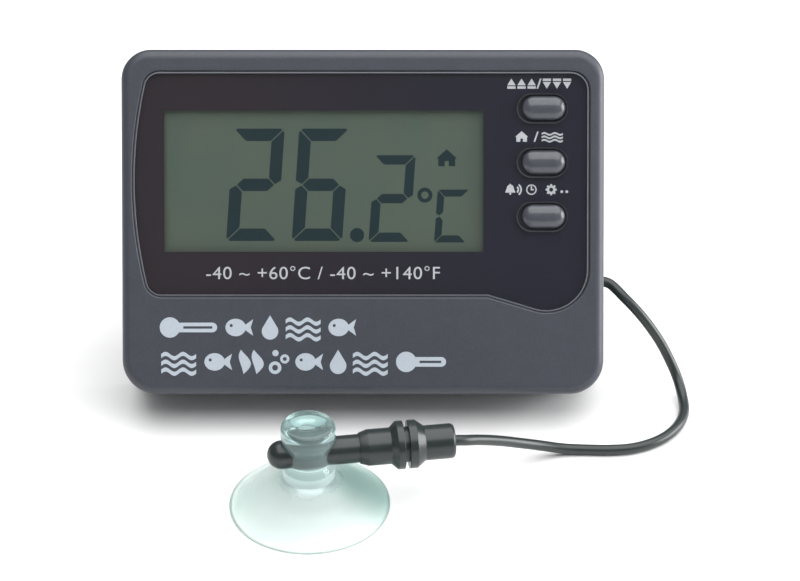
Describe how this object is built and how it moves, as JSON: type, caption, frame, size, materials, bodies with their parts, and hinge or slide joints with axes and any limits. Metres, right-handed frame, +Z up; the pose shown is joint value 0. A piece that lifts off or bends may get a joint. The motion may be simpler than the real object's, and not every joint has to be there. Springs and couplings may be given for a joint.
{
  "type": "aquarium thermometer",
  "caption": "Digital aquarium thermometer: a flat case with a display and buttons that leans on a rear stand, wired to a probe in a clear suction cup.",
  "frame": {"origin": "on the table under the middle of the leaning case, without the cable, probe and suction cup", "axes": "+X to the right across the face, +Y away from the viewer of the display, +Z up"},
  "size_m": [0.1249, 0.0988, 0.0745],
  "materials": {
    "case_plastic": "fine satin moulded plastic, grey",
    "clear_window": "clear polished acrylic",
    "black_print": "black printed film",
    "lcd_glass": "thin display glass",
    "lcd_reflector": "greenish grey reflector film",
    "white_plastic": "white moulded plastic",
    "zebra_rubber": "conductive rubber",
    "board": "green solder mask",
    "black_resin": "black resin",
    "steel": "plated steel",
    "brass": "brass and ceramic",
    "button_plastic": "glossy grey plastic",
    "dark_plastic": "dark moulded plastic",
    "cell_jacket": "printed cell jacket",
    "wire": "vinyl covered wire",
    "cable_jacket": "dark vinyl cable",
    "probe_plastic": "black moulded plastic",
    "potting": "potting resin",
    "clear_vinyl": "clear soft vinyl, faint green tint"
  },
  "bodies": {
    "case": {"front_cover": "case_plastic", "rear_cover": "case_plastic", "display_lens": "clear_window", "lens_mask": "black_print", "lcd_front_glass": "lcd_glass", "lcd_rear_glass": "lcd_glass", "lcd_reflector": "lcd_reflector", "lcd_holder": "white_plastic", "zebra_strips": "zebra_rubber", "circuit_board": "board", "chip_blob": "black_resin", "quartz_crystal": "steel", "indoor_thermistor": "black_resin", "buzzer_disc": "brass", "tact_switches": "dark_plastic", "battery_cell": "cell_jacket", "battery_contact_positive": "steel", "battery_contact_spring": "steel", "stand_hinge_pin": "steel", "case_screws": "steel", "board_screws": "steel", "unit_switch_body": "dark_plastic", "inner_wires": "wire", "cable_grommet": "dark_plastic", "cable": "cable_jacket", "probe_tube": "probe_plastic", "probe_sleeve": "probe_plastic", "cable_boot": "probe_plastic", "thermistor_bead": "brass", "probe_potting": "potting"},
    "max_min_button": {"button_max_min": "button_plastic", "plunger_max_min": "dark_plastic"},
    "in_out_button": {"button_in_out": "button_plastic", "plunger_in_out": "dark_plastic"},
    "alarm_set_button": {"button_alarm_set": "button_plastic", "plunger_alarm_set": "dark_plastic"},
    "door": {"battery_door": "case_plastic"},
    "rear_stand": {"stand": "case_plastic"},
    "unit_slider": {"unit_switch_knob": "dark_plastic"},
    "cup": {"suction_cup": "clear_vinyl"}
  },
  "joints": [
    {"name": "max_min_button_press", "type": "slide", "parent": "case", "child": "max_min_button", "axis": [0, 0.866, -0.5], "range_m": [0, 0.0005], "stiffness_N_per_m": 300},
    {"name": "in_out_button_press", "type": "slide", "parent": "case", "child": "in_out_button", "axis": [0, 0.866, -0.5], "range_m": [0, 0.0005], "stiffness_N_per_m": 300},
    {"name": "alarm_set_button_press", "type": "slide", "parent": "case", "child": "alarm_set_button", "axis": [0, 0.866, -0.5], "range_m": [0, 0.0005], "stiffness_N_per_m": 300},
    {"name": "stand_fold", "type": "hinge", "parent": "case", "child": "rear_stand", "pos_m": [0, 0.01062, 0.03804], "axis": [-1, 0, 0], "range_deg": [0, 47.52]},
    {"name": "door_slide", "type": "slide", "parent": "case", "child": "door", "axis": [0, 0.5, 0.866], "range_m": [0, 0.06]},
    {"name": "unit_slide", "type": "slide", "parent": "case", "child": "unit_slider", "axis": [1, 0, 0], "range_m": [0, 0.002]},
    {"name": "cup_turn", "type": "hinge", "parent": "case", "child": "cup", "pos_m": [-0.011, -0.0543, 0.0137], "axis": [0.9903, 0.1392, 0], "continuous": true}
  ]
}
